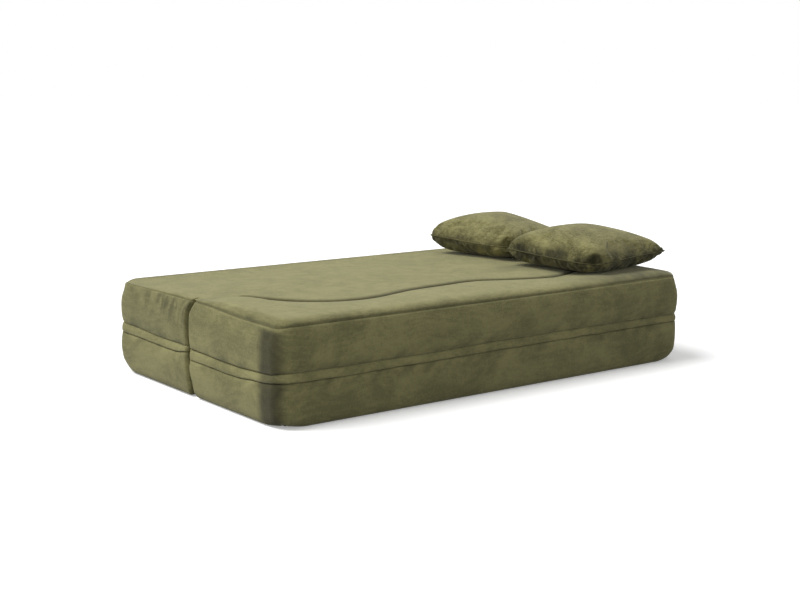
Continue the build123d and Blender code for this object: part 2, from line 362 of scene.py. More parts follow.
UPPER_WALL = np.array([
    (0.1670, -0.0130), (0.1770, -0.0130), (0.1815, -0.0118), (0.1838, -0.0088), (0.1850, -0.0058),
    (0.1868, -0.0034), (0.1900, -0.0014), (0.1950, 0.0004), (0.2030, 0.0022), (0.2130, 0.0036),
    (0.2240, 0.0046), (0.2360, 0.0052), (0.2480, 0.0055), (0.2610, 0.0055), (0.2740, 0.0052),
    (0.2860, 0.0045), (0.2960, 0.0037), (0.3050, 0.0027), (0.3130, 0.0016), (0.3200, 0.0004),
    (0.3250, -0.0006), (0.3285, -0.0015), (0.3305, -0.0023), (0.3318, -0.0033), (0.3327, -0.0044),
    (0.3336, -0.0052)])
LOWER_WALL = np.array([
    (0.0046, -0.0730), (0.0010, -0.0600), (0.0004, -0.0330), (0.0008, -0.0255), (0.0022, -0.0190),
    (0.0050, -0.0130), (0.0092, -0.0082), (0.0150, -0.0044), (0.0225, -0.0016), (0.0320, 0.0006),
    (0.0440, 0.0022), (0.0580, 0.0034), (0.0720, 0.0044), (0.0860, 0.0050), (0.0990, 0.0052),
    (0.1110, 0.0049), (0.1220, 0.0042), (0.1310, 0.0033), (0.1380, 0.0024), (0.1430, 0.0015),
    (0.1465, 0.0003), (0.1492, -0.0016), (0.1508, -0.0045), (0.1522, -0.0095), (0.1532, -0.0130)])
BAND_WALL = np.array([
    (0.1852, -0.0098), (0.1848, -0.0068), (0.1838, -0.0046), (0.1818, -0.0026), (0.1785, -0.0008),
    (0.1740, 0.0008), (0.1690, 0.0020), (0.1640, 0.0028), (0.1600, 0.0031), (0.1565, 0.0030),
    (0.1542, 0.0026), (0.1528, 0.0018), (0.1522, 0.0006), (0.1526, -0.0008), (0.1545, -0.0022),
    (0.1580, -0.0034), (0.1640, -0.0048), (0.1740, -0.0070), (0.1815, -0.0098)])
TAPE_WALL = np.array([(0.1445, -0.0132), (0.1935, -0.0132), (0.1935, -0.0146), (0.1445, -0.0146)])
COIL_WALL = np.array([(0.1650, -0.0100), (0.1712, -0.0100), (0.1712, -0.0126), (0.1650, -0.0126)])
LOW_SEAM = 0.1555
HIGH_SEAM = 0.1850
BAND_MIDDLE = 0.168

# Where the band's lower and upper lines lie off their heights: x or y, lower, upper

LONG_LIFT = np.array([
    (-0.95, 0.0012, -0.0002), (-0.84, -0.0004, -0.0022), (-0.70, -0.0012, -0.0030), (-0.55, 0.0006, -0.0020),
    (-0.38, 0.0010, -0.0042), (-0.25, 0.0018, -0.0022), (-0.12, 0.0040, 0.0006), (0.02, 0.0046, 0.0014),
    (0.15, 0.0042, 0.0014), (0.28, 0.0054, 0.0024), (0.42, 0.0056, 0.0022), (0.60, 0.0060, 0.0010),
    (0.80, 0.0070, 0.0010), (0.95, 0.0082, 0.0008)])
NEAR_LIFT = np.array([
    (-0.54, 0.0010, -0.0010), (-0.49, -0.0020, -0.0080), (-0.43, -0.0090, -0.0140), (-0.36, -0.0148, -0.0170),
    (-0.29, -0.0210, -0.0212), (-0.22, -0.0222, -0.0208), (-0.15, -0.0212, -0.0198), (-0.08, -0.0205, -0.0172),
    (-0.01, -0.0205, -0.0158)])
FAR_LIFT = np.array([
    (0.01, 0.0030, -0.0130), (0.05, -0.0020, -0.0134), (0.10, -0.0072, -0.0122), (0.17, -0.0086, -0.0126),
    (0.24, -0.0072, -0.0124), (0.31, -0.0054, -0.0096), (0.38, -0.0048, -0.0072), (0.45, -0.0050, -0.0052),
    (0.54, -0.0040, -0.0030)])


class Outline:
    """The edge of one block's plan: points, outward directions, how far each lies along it and faces the gap.
    Heights are given as a column, so that a value comes out for each height and each point of the edge."""

    def __init__(self, sizes, side):
        self.sizes = sizes
        self.side = side
        half = sizes.length / 2 - BELLY
        near = sizes.gap / 2 + 0.001
        far = sizes.gap / 2 + sizes.depth - BELLY
        big, small = sizes.corner, sizes.gap_corner
        self.wide = (half, -far, -near, big, small) if side < 0 else (half, near, far, small, big)
        half, y0, y1, r0, r1 = self.wide
        self.plan = (half - SEAM_SET, y0 + SEAM_SET, y1 - SEAM_SET, r0 - SEAM_SET, r1 - SEAM_SET)
        half, y0, y1, r0, r1 = self.plan
        edge = np.array([0, 0.0007, 0.0018, 0.0035, 0.006, 0.0095, 0.014, 0.02, 0.028, 0.038, 0.05])
        reach = edge_spaced(2 * half, 0.0058, edge) - half
        self.columns = reach / half
        low = y0 + corner_rows(r0, 15 if r0 > 0.03 else 9)
        high = y1 - corner_rows(r1, 15 if r1 > 0.03 else 9)[::-1]
        if side < 0:
            fine = np.array([0.0, 0.0012, 0.0024, 0.004, 0.006, 0.009, 0.013, 0.018, 0.025, 0.034, 0.044])
            self.neutral = -0.24
            before = np.linspace(low[-1], self.neutral - fine[-1], 24)[1:]
            after = np.linspace(self.neutral + fine[-1], high[0], 24)[:-1]
            middle = np.concatenate([before, self.neutral - fine[-2:0:-1], self.neutral + fine[:-1], after])
        else:
            middle = np.linspace(low[-1], high[0], 60)[1:-1]
        self.rows = np.concatenate([low, middle, high])
        self.x, self.y = plan_grid(self.columns, self.rows, *self.plan)
        if side < 0:
            self.follow_wave()
        self.shape = self.x.shape
        self.loop = edge_loop(*self.shape)
        px, py = self.x.ravel()[self.loop], self.y.ravel()[self.loop]
        self.nx, self.ny = outline_normals(px, py, *self.plan)
        self.px, self.py = px + SEAM_SET * self.nx, py + SEAM_SET * self.ny
        step = np.hypot(np.roll(px, -1) - px, np.roll(py, -1) - py)
        self.along = np.concatenate([[0], np.cumsum(step)[:-1]])
        self.length = step.sum()
        self.gap_side = smooth((-side * self.ny - 0.2) / 0.7)
        self.end_side = smooth((np.abs(self.nx) - 0.3) / 0.6)

    def moved(self, out):
        """Points of the outline moved out or in: each is its corner's centre plus n * radius, and where a move in
        would use the radius up, the centre moves in instead."""
        half, y0, y1, r0, r1 = self.wide
        radius = np.where(self.py < (y0 + y1) / 2, r0, r1)
        least = 0.002
        over = np.maximum(-out - (radius - least), 0)
        left = np.maximum(radius + out, least)
        reach = half - radius - over
        cx = np.clip(self.px - self.nx * radius, -reach, reach)
        cy = np.clip(self.py - self.ny * radius, y0 + r0 + over, y1 - r1 - over)
        return cx + self.nx * left, cy + self.ny * left

    def follow_wave(self):
        """Slides the middle rows so that one of them runs along the pulled seam."""
        low, high = -0.43, -0.03
        line = np.clip(wave_line(self.x), low + 0.05, high - 0.004)
        under = low + (self.y - low) * (line - low) / (self.neutral - low)
        over = line + (self.y - self.neutral) * (high - line) / (high - self.neutral)
        moved = np.where(self.y < self.neutral, under, over)
        inner = (self.y > low) & (self.y < high)
        self.y = np.where(inner, moved, self.y)

    def ripple(self, z, seed, scale, octaves=2):
        """Noise on the wall that closes on itself: sines round a cylinder of the outline's length."""
        turn = self.along / self.length * 2 * np.pi
        radius = self.length / (2 * np.pi)
        return waves(radius * np.cos(turn) + z * 0.9, radius * np.sin(turn) - z * 0.7, seed, scale, octaves)

    def wall(self, profile, seed, lift):
        """Points of a wall: the outline moved by offset(z), eased on the gap side, rippled, and puckered where the
        end seams pull."""
        z, out = profile[:, :1], profile[:, 1:]
        if self.side < 0:
            flat = self.near_end() * smooth((z - 0.1842) / 0.0022) * smooth((0.222 - z) / 0.02)
            out = out + 0.45 * flat * np.maximum(0.0034 - out, 0)
        belly = np.maximum(out, 0)
        tight = self.end_side * smooth(self.px * 4)
        out = out - belly * np.maximum(0.75 * self.gap_side, 0.45 * tight)
        soft = smooth((z - 0.02) / 0.03) * smooth((0.331 - z) / 0.03)
        calm = 1 - 0.85 * self.gap_side
        out = out + self.ripple(z, seed, 0.33) * 0.0014 * soft * calm
        out = out + self.ripple(z * 2.2, seed + 1, 0.085) * 0.0005 * soft
        pull = bump((z - 0.308) / 0.026) * self.end_side * calm
        out = out - pull * (0.0011 + 0.0016 * self.ripple(z * 0.3, seed + 2, 0.045))
        far = np.abs(self.py - self.side * HALF_WIDTH)
        corner = bump(np.hypot(np.abs(self.px) - HALF_LENGTH, far) / 0.125)
        foot = corner * smooth((0.055 - z) / 0.055)
        raised = 0.0125 * foot * smooth((profile[:, 1:] + 0.055) / 0.03)
        x, y = self.moved(out - 0.013 * foot)
        drop = seam_drop(self.px, self.py, self.side) * smooth((z - 0.2) / 0.13)
        return stacked(x, y + self.lean(z), z + lift - drop + raised)

    def lean(self, z):
        """How far the sides by the gap move towards the back: the seat's bulges into the gap and the back's gives
        way, most at the near end."""
        belly = smooth(z / 0.13) * smooth((0.338 - z) / 0.05)
        near = smooth((-self.px - 0.62) / 0.28)
        if self.side < 0:
            lean = belly * (0.006 + 0.021 * near)
        else:
            lean = belly * (0.006 + 0.013 * near) + 0.009 * smooth((0.328 - z) / 0.04) * (0.4 + 0.6 * near)
        return lean * smooth((0.095 - np.abs(self.py)) / 0.075)

    def near_end(self):
        """1 on the end wall towards the camera, 0 elsewhere."""
        return self.end_side * smooth(-self.px * 4)

    def corner_shade(self):
        """1 where painted shade darkens the seat's near front corner, fading both ways."""
        if self.side > 0:
            return np.zeros_like(self.px)
        return smooth((-self.py - 0.388) / 0.05) * (1 - smooth((self.px + 0.948) / 0.042))

    def band_lift(self, z):
        """How far the cloth at height z moves with the band: between the band's lines a mix of both, and less and
        less away from them."""
        table = NEAR_LIFT if self.side < 0 else FAR_LIFT
        long = smooth(np.abs(self.ny)) * (1 - self.gap_side)
        ends = 1 - 0.55 * smooth(self.px / 0.5 + 0.5)
        low, high = (np.interp(self.px, LONG_LIFT[:, 0], LONG_LIFT[:, i]) * long
                     + np.interp(self.py, table[:, 0], table[:, i]) * ends * (1 - long) for i in (1, 2))
        share = np.clip((z - LOW_SEAM) / (HIGH_SEAM - LOW_SEAM), 0, 1)
        near = smooth((0.12 - np.abs(z - BAND_MIDDLE)) / 0.09)
        return (low * (1 - share) + high * share) * near


def ease_corners(points):
    """Draws corners in along their diagonals and sinks their tops: at a distance r from the corner both fall off
    as (1 + cos(pi r / R)) / 2."""
    x, y, z = points[..., 0], points[..., 1], points[..., 2]
    for end, side, base, top, foot, sink in ((1, -1, 0.0025, 0.013, 0.0, 0.011),
                                             (1, 1, 0.002, 0.006, 0.004, 0.008),
                                             (-1, 1, 0.002, 0.012, 0.011, 0.011)):
        reach = np.hypot(x - end * HALF_LENGTH, y - side * HALF_WIDTH)
        lean = base + top * smooth((z - 0.25) / 0.085) + foot * smooth((0.10 - z) / 0.09)
        pull = lean * bump(reach / 0.11)
        points[..., 2] = z - sink * smooth((z - 0.26) / 0.075) * bump(reach / 0.085)
        points[..., 0] = points[..., 0] - 0.707 * end * pull
        points[..., 1] = points[..., 1] - 0.707 * side * pull
    return points


def seam_line_and_shade(distance, x):
    """Dark line along the sewn top edge, the seam's own dark line together with painted shade in its groove,
    fainter towards the far end: 0.62 exp(-d / 1.2 mm).
    """
    return 0.62 * np.exp(-distance / 0.0012) * (1 - 0.65 * smooth((x - 0.1) / 0.5))


def wall_shade(outline, z, seed, upper):
    """How dark a wall is painted: the seam's dark line with painted shade along the sewn edge, painted shadow
    under the band's hem and the band's upper sewn line with painted shade in its pinch, both lighter on the near
    end, darker streaks high on the back's near end, painted shade at the seat's near front corner, patches darker
    towards the band, and a little darker low on the near end."""
    near_end = outline.near_end()
    # halves the painted shadow and shade of the band's lines on the near end
    wear_and_shade = 1 - 0.5 * near_end
    dark = seam_line_and_shade(np.abs(z - 0.3336), outline.px)
    # painted shadow under the band's hem
    dark = dark + 0.5 * smooth((z - LOW_SEAM + 0.006) / 0.005) * (z < 0.17) * wear_and_shade
    # the band's upper sewn line with painted shade in its pinch
    dark += 0.45 * smooth((HIGH_SEAM + 0.0012 - z) / 0.0012) * (z > 0.162) * wear_and_shade
    if outline.side > 0:
        folds = outline.ripple(z * 0.45, seed + 40, 0.062, 3)
        ends = near_end * (1 - 0.8 * smooth((outline.py - 0.2) / 0.2))
        under = smooth((z - 0.215) / 0.09) * smooth((SEWN_EDGE - z) / 0.006)
        dark += under * ends * np.clip(0.20 + 1.2 * folds, 0, 0.55)
    # painted shade on the seat's near front corner, down from the sewn edge
    dark += 0.95 * outline.corner_shade() * smooth((SEWN_EDGE - z) / 0.02)
    patch = outline.ripple(z, seed + 44, 0.12)
    if upper:
        return dark + smooth((0.228 - z) / 0.04) * np.clip(0.10 + 0.55 * patch, 0, 0.4)
    dark += smooth((z - 0.098) / 0.045) * np.clip(0.06 + 0.6 * patch, 0, 0.4)
    return dark + 0.09 * smooth((0.145 - z) / 0.03) * near_end


def top_shade(outline, inside):
    """How dark a top is painted: the seam's dark line with painted shade along the sewn edge, and on the seat
    painted shade in mottled bands inside it, narrow at the near end and wide at the far one."""
    x = outline.x
    dark = seam_line_and_shade(inside, x)
    if outline.side < 0:
        shade_mottle = np.clip(0.75 + 0.7 * waves(x, outline.y, 61, 0.11, 2), 0, 1.2)
        # painted shade in bands inside the seat's sewn edge, mottled
        left = 0.30 * smooth((0.25 - x) / 0.7) * shade_mottle * smooth((0.036 - inside) / 0.034)
        right = 0.78 * smooth((x - 0.22) / 0.50) * smooth((0.17 - inside) / 0.13) * (0.6 + 0.4 * shade_mottle)
        dark += (left + right) * (inside > 0.0005)
    return dark


def cover_mesh(name, outline, profile, seed, closes_top):
    """Closed skin: the wall's rings, joined to the top grid or to a flat cap, and a cap at the open end."""
    z = profile[:, :1]
    points = outline.wall(profile, seed, outline.band_lift(z))
    dark = wall_shade(outline, z, seed, closes_top)
    if closes_top:
        top_height = seat_top if outline.side < 0 else back_top
        height, crease_shade = top_height(outline.x, outline.y, outline.plan, outline.sizes)
        top = stacked(outline.x, outline.y, height).reshape(-1, 3)
        inside = np.maximum(signed_inside(outline.x, outline.y, *outline.plan), 0)
        points, dark = points[:-1], dark[:-1]
        rings = np.vstack([index_grid(*dark.shape, len(top)), outline.loop])
        quads = np.concatenate([grid_quads(index_grid(*outline.shape)), ring_quads(rings[:-1], rings[1:])])
        caps = [rings[0][::-1]]
        upright = np.concatenate([0.8 * np.exp(-inside / 0.02).ravel(), np.ones(dark.size)])
        points = np.concatenate([top, points.reshape(-1, 3)])
        dark = np.concatenate([np.maximum(crease_shade, top_shade(outline, inside)).ravel(), dark.ravel()])
    else:
        rings = index_grid(*dark.shape)
        quads = ring_quads(rings[:-1], rings[1:])
        caps = [rings[0][::-1], rings[-1]]
        upright = np.ones(dark.size)
    mesh = make_mesh(name, ease_corners(points), quads.tolist() + [cap.tolist() for cap in caps])
    # seam attribute: the seam lines and the painted shade of the top and walls
    set_attribute(mesh, "seam", np.clip(dark, 0, 1).ravel())
    set_attribute(mesh, "side", upright)
    return mesh


def closed_band(name, points):
    """Strip carried round a block: each profile point's ring is joined to the next, and the last to the first."""
    rings = index_grid(*points.shape[:2])
    return make_mesh(name, ease_corners(points), ring_quads(np.roll(rings, -1, axis=0), rings))


def band_mesh(name, outline, seed):
    """The flap over the zip: a closed strip carried round the block, its lower hem standing a little proud."""
    z = BAND_WALL[:, :1]
    hem = smooth((0.172 - z) / 0.02)
    lift = outline.band_lift(z) + 0.0016 * hem * outline.ripple(0.0, seed + 5, 0.16)
    flare = 0.0009 * hem * outline.ripple(0.0, seed + 6, 0.12)
    points = outline.wall(BAND_WALL, seed + 9, lift)
    points[..., 0] += outline.nx * flare
    points[..., 1] += outline.ny * flare
    mesh = closed_band(name, points)
    # the band's upper sewn line with painted shade in its pinch, painted shade under its hem, and painted shade at
    # the seat's near front corner
    dark = 0.45 * np.exp(-np.maximum(HIGH_SEAM - z, 0) / 0.0016) + 0.35 * smooth((0.1535 - z) / 0.001)
    set_attribute(mesh, "seam", np.clip(dark + 0.7 * outline.corner_shade(), 0, 1).ravel())
    set_attribute(mesh, "side", np.ones(len(mesh.vertices)))
    return mesh


def ring_strip(name, outline, profile):
    """Closed strip carried round the block: each (height, offset) point follows the outline moved by its offset,
    the band's lift and the gap side's lean."""
    z = profile[:, :1]
    x, y = outline.moved(profile[:, 1:])
    return closed_band(name, stacked(x, y + outline.lean(z), z + outline.band_lift(z)))


def strip_mesh(name, xs, profile):
    """Closed strip: a ring of (y, z) points carried along each of xs, its two ends closed by flat faces."""
    rings = index_grid(len(xs), len(profile))
    quads = ring_quads(rings[1:], rings[:-1]).tolist()
    points = stacked(xs[:, None], profile[:, 0], profile[:, 1])
    return make_mesh(name, points, quads + [rings[0].tolist(), rings[-1][::-1].tolist()])


def hinge_profile(sheet):
    """Ring of the hinge cloth: its top follows sheet + 0.1 mm - 0.3 mm ((|y| - 10 mm) / 26 mm)^2, its underside is
    flat."""
    outer = np.linspace(0.012, HINGE_SIDE, 9)
    y = np.concatenate([-outer[::-1], np.linspace(-0.0105, 0.0105, 29), outer])
    top = sheet + 0.0001 - 0.0003 * (np.maximum(np.abs(y) - 0.01, 0) / 0.026) ** 2
    under = np.full_like(y, sheet - 0.0011)
    return np.concatenate([np.stack([y, under], axis=1), np.stack([y[::-1], top[::-1]], axis=1)])


# Pillows

HELD_WIDTH = 0.0065     # of cloth beside a pillow's seam that the filling doesn't move
MOST_FILL = 0.0055      # how far the filling moves the cloth at most


def pillow_grid(sizes, fullness, tilt):
    """Two grids, crown and underside, over u and v from -1 to 1: half height is t (a b / (a + b - a b))^p with
    a = 1 - |u|^2.4 and b = 1 - |v|^2.4. The sides are drawn in by d (1 - v^2) u^2, and the corners by
    c |u v|^3 + 0.012 |u v|^14.
    The corner towards the camera is fuller and pushed along, and the crown is lower at the right by tilt."""
    n = 97
    t = np.sin(np.linspace(-1, 1, n) * np.pi / 2)
    u, v = np.meshgrid(t, t)
    half = sizes.side / 2
    right = (u - v) / 2
    front = (1 - u) * (1 - v) / 4
    pull, blunt = 0.040, 0.036 * (1 - 0.9 * smooth(right)) + 0.17 * front ** 2
    tip = blunt * np.abs(u * v) ** 3 + 0.012 * np.abs(u * v) ** 14
    x = half * (u * (1 - pull * (1 - v ** 2) * u ** 2 - tip) + 0.14 * front ** 2)
    y = half * (v * (1 - pull * (1 - u ** 2) * v ** 2 - tip) - 0.10 * front ** 2)
    a, b = 1 - np.abs(u) ** 2.4, 1 - np.abs(v) ** 2.4
    shape = np.clip(a * b / (a + b - a * b + 1e-9), 0, 1) ** (0.48 - 0.10 * front ** 2)
    lean = 1 - tilt * np.maximum(right, 0) + 0.08 * np.maximum(-right, 0)
    crown = sizes.thick * (0.44 + 0.14 * fullness) * shape * lean
    return u, v, x, y, crown


def pillow_points(sizes, box, fullness, droop, tilt):
    """The pillow's closed mesh before it is filled: both grids share their edge, which droops by droop metres at
    the corner towards the camera, and the underside rests flat."""
    u, v, x, y, crown = pillow_grid(sizes, fullness, tilt)
    low, high = np.array(box[0]), np.array(box[1])
    centre = (low + high) / 2
    middle = low[2] + 0.40 * (high[2] - low[2]) - (1 - u) / 4 * (droop * (1 - v) + 0.5 * droop * (1 + v))
    top = middle + crown * 1.08
    under = middle - crown * (0.92 - 0.5 * ((1 - u) * (1 - v) / 4) ** 2)
    n = len(u)
    upper, lower = (stacked(x + centre[0], y + centre[1], z).reshape(-1, 3) for z in (top, under))
    inner = np.zeros((n, n), bool)
    inner[1:-1, 1:-1] = True
    above = index_grid(n, n)
    below = above.copy()
    below[inner] = n * n + np.arange(inner.sum())
    points = np.concatenate([upper, lower[inner.ravel()]])
    turned_over = grid_quads(below)[:, [0, 3, 2, 1]]
    return points, np.concatenate([grid_quads(above), turned_over]), points[edge_loop(n, n)]


def fill_pillow(name, points, quads, edge):
    """Fills the pillow with air in a cloth simulation, its seam held, and returns the new points and quads. No
    point moves further than MOST_FILL."""
    scene = bpy.context.scene
    body = add_object(name + "_start", make_mesh(name + "_start", points, quads))
    remesh = body.modifiers.new("Remesh", "REMESH")
    remesh.mode = "VOXEL"
    remesh.voxel_size = 0.0058
    graph = bpy.context.evaluated_depsgraph_get()
    dense = bpy.data.meshes.new_from_object(body.evaluated_get(graph))
    bpy.data.objects.remove(body)
    cloth_body = add_object(name + "_cloth", dense)
    start = mesh_points(dense)
    gap = np.full(len(start), 9.0)
    for part in np.array_split(edge, 8):
        gap = np.minimum(gap, np.sqrt(((start[:, None, :] - part[None, :, :]) ** 2).sum(axis=2)).min(axis=1))
    held = cloth_body.vertex_groups.new(name="seam")
    held.add(np.nonzero(gap < HELD_WIDTH)[0].tolist(), 1.0, "REPLACE")
    cloth = cloth_body.modifiers.new("Cloth", "CLOTH")
    settings = cloth.settings
    settings.quality = 5
    settings.mass = 0.25
    settings.tension_stiffness = settings.compression_stiffness = 12
    settings.shear_stiffness = 4
    settings.bending_stiffness = 0.3
    settings.shrink_min = -0.05
    settings.use_pressure = True
    settings.uniform_pressure_force = 3.2
    settings.vertex_group_mass = "seam"
    settings.effector_weights.gravity = 0
    cloth.collision_settings.use_collision = False
    for step in range(1, 21):
        scene.frame_set(step)
    graph = bpy.context.evaluated_depsgraph_get()
    move = mesh_points(cloth_body.evaluated_get(graph).to_mesh()) - start
    faces = np.empty(len(dense.polygons) * 4, int)
    dense.polygons.foreach_get("vertices", faces)
    reach = np.linalg.norm(move, axis=1)
    move *= np.minimum(1, MOST_FILL / np.maximum(reach, 1e-9))[:, None]
    bpy.data.objects.remove(cloth_body)
    scene.frame_set(1)
    return start + move, faces.reshape(-1, 4)


def settle(points, rest, soft):
    """Presses the underside flat on what carries it: z = rest + soft log(1 + exp((z - rest) / soft))."""
    z = points[:, 2]
    points[:, 2] = rest + soft * np.logaddexp(0, (z - rest) / soft)
    return points


def tube_mesh(name, path, radius, sides=10):
    """Closed tube round a closed path of points, r for each: centre + r (cos a side + sin a up)."""
    ahead = np.roll(path, -1, axis=0) - np.roll(path, 1, axis=0)
    ahead /= np.linalg.norm(ahead, axis=1)[:, None]
    up = np.array([0.0, 0.0, 1.0])
    side = np.cross(ahead, up)
    side /= np.linalg.norm(side, axis=1)[:, None]
    over = np.cross(side, ahead)
    angle = (np.arange(sides) / sides * 2 * np.pi)[:, None, None]
    points = path + radius[:, None] * (np.cos(angle) * side + np.sin(angle) * over)
    rings = index_grid(sides, len(path))
    return make_mesh(name, points, ring_quads(rings, np.roll(rings, -1, axis=0)))


# Materials

def node(tree, kind, settings=None, **inputs):
    """Adds a node, sets its settings, and gives each named input a value or a link."""
    made = tree.nodes.new(kind)
    for key, value in (settings or {}).items():
        setattr(made, key, value)
    set_inputs(tree, made, inputs)
    return made


def set_inputs(tree, made, inputs):
    """Gives a node's inputs plain values or links: i0 is its first input, and Patch_scale its Patch scale."""
    for key, value in inputs.items():
        numbered = key[0] == "i" and key[1:].isdigit()
        socket = made.inputs[int(key[1:]) if numbered else key.replace("_", " ")]
        if isinstance(value, bpy.types.NodeSocket):
            tree.links.new(value, socket)
        else:
            socket.default_value = value


def maths(tree, operation, a, b=0.0, c=0.0, clamp=False):
    """Math node's result."""
    return node(tree, "ShaderNodeMath", {"operation": operation, "use_clamp": clamp}, i0=a, i1=b, i2=c).outputs[0]


def mix_colour(tree, factor, a, b, blend="MIX"):
    """Mix node's colour."""
    made = node(tree, "ShaderNodeMix", {"data_type": "RGBA", "blend_type": blend}, i0=factor, i6=a, i7=b)
    return made.outputs[2]


def noise(tree, vector, scale, detail=2.0, rough=0.5):
    """Noise node's value."""
    made = node(tree, "ShaderNodeTexNoise", None, Vector=vector, Scale=scale, Detail=detail, Roughness=rough)
    return made.outputs[0]


def ranged(tree, value, low, high, to_low=0.0, to_high=1.0):
    """Map Range node's result, smooth and clamped."""
    made = node(tree, "ShaderNodeMapRange", {"interpolation_type": "SMOOTHSTEP"}, i0=value, i1=low, i2=high,
                i3=to_low, i4=to_high)
    return made.outputs[0]


def pile_group():
    """Plush pile: brushed light and dark patches, fine fibres, and darker where the seam attribute marks seam
    lines and painted shade.
    """
    group = bpy.data.node_groups.new("Plush pile", "ShaderNodeTree")
    for name, kind, value in (("Pile", "NodeSocketColor", (0.2, 0.19, 0.09, 1)),
                              ("Shade", "NodeSocketColor", (0.1, 0.1, 0.04, 1)),
                              ("Patch scale", "NodeSocketFloat", 5.0), ("Patch depth", "NodeSocketFloat", 0.5),
                              ("Streak", "NodeSocketFloat", 0.3), ("Grain", "NodeSocketFloat", 1.2),
                              ("Seam and shade depth", "NodeSocketFloat", 0.82)):
        group.interface.new_socket(name=name, in_out="INPUT", socket_type=kind).default_value = value
    for name, kind in (("Colour", "NodeSocketColor"), ("Height", "NodeSocketFloat")):
        group.interface.new_socket(name=name, in_out="OUTPUT", socket_type=kind)
    given = group.nodes.new("NodeGroupInput")
    place = node(group, "ShaderNodeTexCoord").outputs["Object"]
    drift = node(group, "ShaderNodeTexNoise", None, Vector=place, Scale=3.0, Detail=1.0).outputs["Color"]
    where = node(group, "ShaderNodeVectorMath", {"operation": "MULTIPLY_ADD"}, i0=drift, i1=(0.22, 0.22, 0.16),
                 i2=place).outputs[0]
    side = node(group, "ShaderNodeAttribute", {"attribute_name": "side"}).outputs["Fac"]
    # the seam attribute: dark seam lines together with painted shade
    sewn = node(group, "ShaderNodeAttribute", {"attribute_name": "seam"}).outputs["Fac"]
    patch = ranged(group, noise(group, where, given.outputs["Patch scale"], 4.0, 0.65), 0.36, 0.64)
    streak = ranged(group, noise(group, stretched(group, where, (1.0, 1.0, 5.0)), 14.0, 4.0, 0.65), 0.36, 0.64)
    across = noise(group, stretched(group, place, (0.16, 0.16, 1.0)), 330.0, 2.0, 0.6)
    upright = noise(group, stretched(group, place, (1.0, 1.0, 0.16)), 330.0, 2.0, 0.6)
    clump = noise(group, place, 120.0, 4.0, 0.72)
    fibre = noise(group, place, 1500.0, 1.0, 0.5)
    depth = maths(group, "MULTIPLY", given.outputs["Patch depth"], maths(group, "MULTIPLY_ADD", side, 0.75, 0.25))
    mask = 0.5
    for value, weight in ((patch, depth), (streak, given.outputs["Streak"]), (across, 0.75), (upright, 0.75),
                          (clump, given.outputs["Grain"]), (fibre, 0.6)):
        mask = maths(group, "ADD", maths(group, "MULTIPLY", maths(group, "SUBTRACT", value, 0.5), weight), mask)
    mask = maths(group, "MULTIPLY", mask, 1.0, clamp=True)
    # darkens the colour by the seam lines and the painted shade
    dark = maths(group, "SUBTRACT", 1.0, maths(group, "MULTIPLY", sewn, given.outputs["Seam and shade depth"]))
    colour = mix_colour(group, mask, given.outputs["Shade"], given.outputs["Pile"])
    toned = node(group, "ShaderNodeHueSaturation", None, Value=dark, Color=colour).outputs[0]
    height = clump
    for value, weight in ((across, 0.6), (upright, 0.6), (fibre, 0.5)):
        height = maths(group, "ADD", height, maths(group, "MULTIPLY", value, weight))
    node(group, "NodeGroupOutput", None, Colour=toned, Height=height)
    return group


def stretched(tree, vector, scale):
    """Vector scaled by its own amount along each axis."""
    return node(tree, "ShaderNodeMapping", None, Vector=vector, Scale=scale).outputs[0]


def new_surface(name):
    """A new material, its node tree and its surface shader."""
    material = bpy.data.materials.new(name)
    material.use_nodes = True
    return material, material.node_tree, material.node_tree.nodes["Principled BSDF"]


def set_surface(tree, surface, colour, height, strength, distance, **inputs):
    """Gives a surface shader its colour, the bump of a height, and each named input a plain value or a link."""
    rise = node(tree, "ShaderNodeBump", None, Strength=strength, Distance=distance, Height=height)
    tree.links.new(colour, surface.inputs["Base Color"])
    tree.links.new(rise.outputs[0], surface.inputs["Normal"])
    set_inputs(tree, surface, inputs)


def plush(name, light, shade, patch_scale, patch_depth, streak, relief=0.5, sheen=0.35):
    """Plush material: the pile group's colour and bump on a rough surface with a soft sheen."""
    material, tree, surface = new_surface(name)
    group = bpy.data.node_groups.get("Plush pile") or pile_group()
    pile = node(tree, "ShaderNodeGroup", {"node_tree": group}, Pile=(*light, 1), Shade=(*shade, 1),
                Patch_scale=patch_scale, Patch_depth=patch_depth, Streak=streak)
    set_surface(tree, surface, pile.outputs["Colour"], pile.outputs["Height"], relief, 0.0012, Roughness=0.92,
                Specular_IOR_Level=0.2, Sheen_Weight=sheen, Sheen_Roughness=0.45, Sheen_Tint=(0.85, 0.83, 0.6, 1))
    return material


def woven(name, colour, shade, threads):
    """Plain weave: two crossed waves of threads, sin(t x) sin(t (y + z)), over and under, with slubs."""
    material, tree, surface = new_surface(name)
    place = node(tree, "ShaderNodeTexCoord").outputs["Object"]
    split = node(tree, "ShaderNodeSeparateXYZ", None, Vector=place)
    high = maths(tree, "ADD", split.outputs[1], split.outputs[2])
    warp, weft = (maths(tree, "SINE", maths(tree, "MULTIPLY", way, threads)) for way in (split.outputs[0], high))
    slub = noise(tree, place, 120.0, 2.0, 0.6)
    mask = maths(tree, "MULTIPLY_ADD", maths(tree, "MULTIPLY", warp, weft), 0.25, slub, clamp=True)
    set_surface(tree, surface, mix_colour(tree, mask, (*shade, 1), (*colour, 1)), mask, 0.4, 0.0005,
                Roughness=0.88, Specular_IOR_Level=0.25)
    return material


